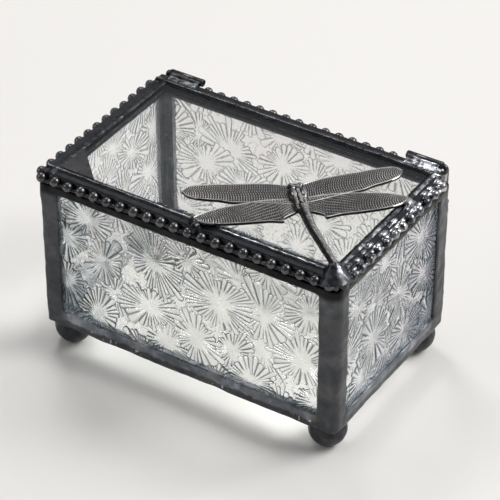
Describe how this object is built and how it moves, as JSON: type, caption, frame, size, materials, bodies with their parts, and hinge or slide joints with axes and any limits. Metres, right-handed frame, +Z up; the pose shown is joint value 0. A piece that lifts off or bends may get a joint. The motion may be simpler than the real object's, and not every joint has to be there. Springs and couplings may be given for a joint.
{
  "type": "glass casket box",
  "caption": "Small hinged keepsake box of patterned glass panes joined by dark solder, with ball feet, beaded lid trim and a cast dragonfly on the clear lid.",
  "frame": {"origin": "centre of the footprint, at the bottom of the feet", "axes": "+X to the right along the long side, -Y out of the front, +Z up"},
  "size_m": [0.105, 0.0674, 0.0674],
  "materials": {
    "pressed_glass": "colourless glass with pressed starbursts on the outer face",
    "clear_glass": "clear glass",
    "foil": "adhesive copper foil with a black patina",
    "solder": "waxed tin solder with a blue-black patina",
    "hinge_metal": "tinned brass tube and wire with a dark patina",
    "pewter": "antiqued cast pewter with rubbed bright edges"
  },
  "bodies": {
    "box": {"front_glass": "pressed_glass", "back_glass": "pressed_glass", "left_glass": "pressed_glass", "right_glass": "pressed_glass", "base_glass": "pressed_glass", "front_foil": "foil", "back_foil": "foil", "left_foil": "foil", "right_foil": "foil", "base_foil": "foil", "corner_seam_front_left": "solder", "corner_seam_front_right": "solder", "corner_seam_back_left": "solder", "corner_seam_back_right": "solder", "base_seam_front": "solder", "base_seam_back": "solder", "base_seam_left": "solder", "base_seam_right": "solder", "rim_seam_front": "solder", "rim_seam_back": "solder", "rim_seam_left": "solder", "rim_seam_right": "solder", "foot_front_left": "solder", "foot_front_right": "solder", "foot_back_left": "solder", "foot_back_right": "solder", "pin_solder_left": "solder", "pin_solder_right": "solder", "hinge_pin_left": "hinge_metal", "hinge_pin_right": "hinge_metal"},
    "lid": {"lid_glass": "clear_glass", "lid_foil": "foil", "lid_seam_front": "solder", "lid_seam_back": "solder", "lid_seam_left": "solder", "lid_seam_right": "solder", "bead_trim_front": "solder", "bead_trim_back": "solder", "bead_trim_left": "solder", "bead_trim_right": "solder", "hinge_tube_left": "hinge_metal", "hinge_tube_right": "hinge_metal", "tube_solder_left": "solder", "tube_solder_right": "solder", "dragonfly": "pewter", "tail_joint": "solder", "wing_joint_left": "solder", "wing_joint_right": "solder", "corner_web": "solder"}
  },
  "joints": [
    {"name": "lid_hinge", "type": "hinge", "parent": "box", "child": "lid", "pos_m": [0, 0.03255, 0.0638], "axis": [-1, 0, 0], "range_deg": [0, 110]}
  ]
}
